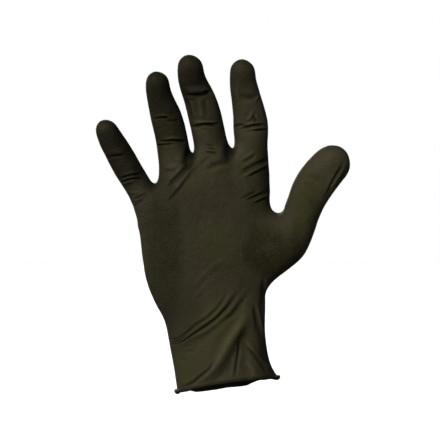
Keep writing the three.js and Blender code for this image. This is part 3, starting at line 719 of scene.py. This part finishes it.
class Nodes:
    """A material's nodes, made and joined one by one."""

    def __init__(self, name):
        self.material = bpy.data.materials.new(name)
        self.material.use_nodes = True
        self.tree = self.material.node_tree
        self.shader = self.tree.nodes["Principled BSDF"]
        self.place = self.add("ShaderNodeTexCoord").outputs["Object"]

    def add(self, kind, inputs=None, **settings):
        node = self.tree.nodes.new(kind)
        for key, value in settings.items():
            setattr(node, key, value)
        for key, value in (inputs or {}).items():
            self.set(node, key, value)
        return node

    def set(self, node, key, value):
        if isinstance(value, bpy.types.NodeSocket):
            self.tree.links.new(value, node.inputs[key])
        else:
            node.inputs[key].default_value = value

    def attribute(self, name):
        return self.add("ShaderNodeAttribute", attribute_name=name).outputs["Fac"]

    def noise(self, grain, place=None):
        """Uneven values from 0 to 1, at the object's own places or at others."""
        inputs = {"Vector": self.place if place is None else place, "Scale": grain.scale,
                  "Detail": grain.detail, "Roughness": grain.roughness}
        return self.add("ShaderNodeTexNoise", inputs).outputs["Fac"]

    def math(self, operation, first, second):
        return self.add("ShaderNodeMath", {0: first, 1: second}, operation=operation).outputs[0]

    def spread(self, value, pair):
        """A value from 0 to 1 spread between the pair's numbers."""
        inputs = {"Value": value, "To Min": pair[0], "To Max": pair[1]}
        return self.add("ShaderNodeMapRange", inputs).outputs["Result"]

    def share(self, value, pair):
        """How far a value is from the pair's first number to its second, from 0 to 1."""
        inputs = {"Value": value, "From Min": pair[0], "From Max": pair[1]}
        return self.add("ShaderNodeMapRange", inputs).outputs["Result"]

    def mix(self, amount, first, second):
        """A tone between two others."""
        tone = self.add("ShaderNodeMix", data_type="RGBA")
        self.set(tone, 0, amount)
        tone.inputs[6].default_value = first
        tone.inputs[7].default_value = second
        return tone.outputs[2]

    def bump(self, height, strength, distance, normal=None):
        inputs = {"Height": height, "Strength": strength, "Distance": distance}
        if normal is not None:
            inputs["Normal"] = normal
        return self.add("ShaderNodeBump", inputs).outputs["Normal"]

    def relief(self, relief, normal=None, place=None):
        return self.bump(self.noise(relief.grain, place), relief.strength, relief.depth, normal)


def film_tone(nodes, stipple_and_shade):
    """Brown with olive patches, olive where it is stippled or under painted shade, mottled, darker where
    stippled, darkened by painted shade and lightened by painted light from its marks.
    """
    marked = nodes.math("MAXIMUM", stipple_and_shade, nodes.attribute("painted_shade"))
    brown = nodes.math("MULTIPLY", nodes.share(nodes.noise(TONE_GRAIN), BROWN_RANGE),
                       nodes.share(marked, SMOOTH_RANGE))
    tone = nodes.mix(brown, NITRILE_OLIVE, NITRILE_BROWN)
    blotches = nodes.math("SUBTRACT", nodes.noise(MOTTLE_GRAIN), 0.5)
    contrast = nodes.math("ADD", MOTTLE, nodes.math("MULTIPLY", stipple_and_shade, GRIP_MOTTLE))
    light = nodes.math("ADD", 1, nodes.math("MULTIPLY", blotches, contrast))
    marks = [(stipple_and_shade, STIPPLE_AND_SHADE_DARKENING)]
    marks += [(nodes.attribute(name), darkening) for name, darkening in DARKENINGS.items()]
    for amount, darkening in marks:
        kept = nodes.math("SUBTRACT", 1, nodes.math("MULTIPLY", amount, darkening))
        light = nodes.math("MULTIPLY", light, kept)
    return nodes.add("ShaderNodeVectorMath", {0: tone, "Scale": light}, operation="SCALE").outputs[0]


def film_relief(nodes, stipple_and_shade):
    """A fine grain, crepe, slanted creases, and a stipple where the film grips."""
    crepe = nodes.relief(CREPE_RELIEF, nodes.relief(FINE_RELIEF))
    slant = {"Vector": nodes.place, "Rotation": (0, -HATCH_SLANT, 0), "Scale": (HATCH_STRETCH, 1, 1)}
    slanted = nodes.add("ShaderNodeMapping", slant, vector_type="TEXTURE").outputs["Vector"]
    hatched = nodes.relief(HATCH_RELIEF, crepe, slanted)
    cells = {"Vector": nodes.place, "Scale": STIPPLE_SCALE}
    cell = nodes.add("ShaderNodeTexVoronoi", cells, feature="SMOOTH_F1").outputs["Distance"]
    return nodes.bump(nodes.math("MULTIPLY", cell, stipple_and_shade), STIPPLE_STRENGTH, STIPPLE_DEPTH, hatched)


def nitrile_material():
    """Matt black nitrile with an olive cast, finely uneven, stippled where it grips."""
    nodes = Nodes("nitrile")
    uneven = nodes.spread(nodes.noise(STIPPLE_AND_SHADE_GRAIN), STIPPLE_AND_SHADE_SPREAD)
    stipple_and_shade = nodes.math("MULTIPLY", nodes.attribute("stipple_and_shade"), uneven)
    nodes.set(nodes.shader, "Base Color", film_tone(nodes, stipple_and_shade))
    haze = nodes.spread(nodes.noise(HAZE_GRAIN), HAZE_SPREAD)
    rough = nodes.math("ADD", haze, nodes.math("MULTIPLY", stipple_and_shade, GRIP_HAZE))
    nodes.set(nodes.shader, "Roughness", rough)
    nodes.shader.inputs["Specular IOR Level"].default_value = NITRILE_SPECULAR
    nodes.shader.inputs["Specular Tint"].default_value = NITRILE_SHEEN_TINT
    nodes.set(nodes.shader, "Normal", film_relief(nodes, stipple_and_shade))
    return nodes.material


def stage_material():
    nodes = Nodes("pale_floor")
    nodes.set(nodes.shader, "Base Color", nodes.mix(nodes.noise(FLOOR_GRAIN), *FLOOR_TONES))
    nodes.shader.inputs["Roughness"].default_value = FLOOR_ROUGHNESS
    nodes.shader.inputs["Specular IOR Level"].default_value = FLOOR_SPECULAR
    return nodes.material


# Pieces

def build_glove():
    glove = film_object()
    thin_inside(glove)
    for widest in NARROW_FOLDS:
        refine(glove, widest)
    shape_film(glove)
    mark_film(glove)
    glove.data.materials.clear()
    glove.data.materials.append(nitrile_material())
    for polygon in glove.data.polygons:
        polygon.use_smooth = True
    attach(glove, "root")
    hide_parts(NODE)


# Stage, light and camera

def build_floor():
    """A plain pale floor below the glove. The glove gets no light and no reflection from it."""
    bm = bmesh.new()
    bmesh.ops.create_circle(bm, cap_ends=True, segments=FLOOR_SIDES, radius=FLOOR_RADIUS)
    mesh = bpy.data.meshes.new("floor")
    bm.to_mesh(mesh)
    bm.free()
    mesh.materials.append(stage_material())
    floor = bpy.data.objects.new("floor", mesh)
    bpy.context.scene.collection.objects.link(floor)
    floor.location.z = cad_box[0].z - FLOOR_DROP * MM
    floor.visible_diffuse = False
    floor.visible_glossy = False


def build_world():
    """White where the camera sees it, and a dim fill for the glove."""
    world = bpy.data.worlds.new("studio")
    world.use_nodes = True
    tree = world.node_tree
    white = tree.nodes["Background"]
    white.inputs["Color"].default_value = WHITE
    white.inputs["Strength"].default_value = 1.0
    fill = tree.nodes.new("ShaderNodeBackground")
    fill.inputs["Color"].default_value = WHITE
    fill.inputs["Strength"].default_value = FILL
    mix = tree.nodes.new("ShaderNodeMixShader")
    tree.links.new(tree.nodes.new("ShaderNodeLightPath").outputs["Is Camera Ray"], mix.inputs["Fac"])
    tree.links.new(fill.outputs["Background"], mix.inputs[1])
    tree.links.new(white.outputs["Background"], mix.inputs[2])
    tree.links.new(mix.outputs["Shader"], tree.nodes["World Output"].inputs["Surface"])
    bpy.context.scene.world = world


def build_light():
    build_world()
    for sun in SUNS:
        light = bpy.data.lights.new(sun.name, "SUN")
        light.energy = sun.strength
        light.angle = math.radians(sun.spread)
        lamp = bpy.data.objects.new(sun.name, light)
        lamp.rotation_mode = "QUATERNION"
        lamp.rotation_quaternion = Vector(sun.place).to_track_quat("Z", "Y")
        bpy.context.scene.collection.objects.link(lamp)
    bpy.context.scene.view_settings.view_transform = "Standard"


def build_camera():
    """Straight on to the palm, as in the photograph, with the same stretch of the glove in the frame."""
    data = bpy.data.cameras.new("camera")
    camera = bpy.data.objects.new("camera", data)
    bpy.context.scene.collection.objects.link(camera)
    x, z = VIEW_MIDDLE * MM
    view_width = PHOTO_SIZE * PHOTO_SCALE * MM
    data.lens = data.sensor_width * CAMERA_DISTANCE / view_width
    data.clip_end = CAMERA_REACH
    camera.location = (x, OUTLINE_DEPTH * MM - CAMERA_DISTANCE, z)
    camera.rotation_euler = (math.pi / 2, 0, 0)
    bpy.context.scene.camera = camera


build_glove()
build_floor()
build_light()
build_camera()
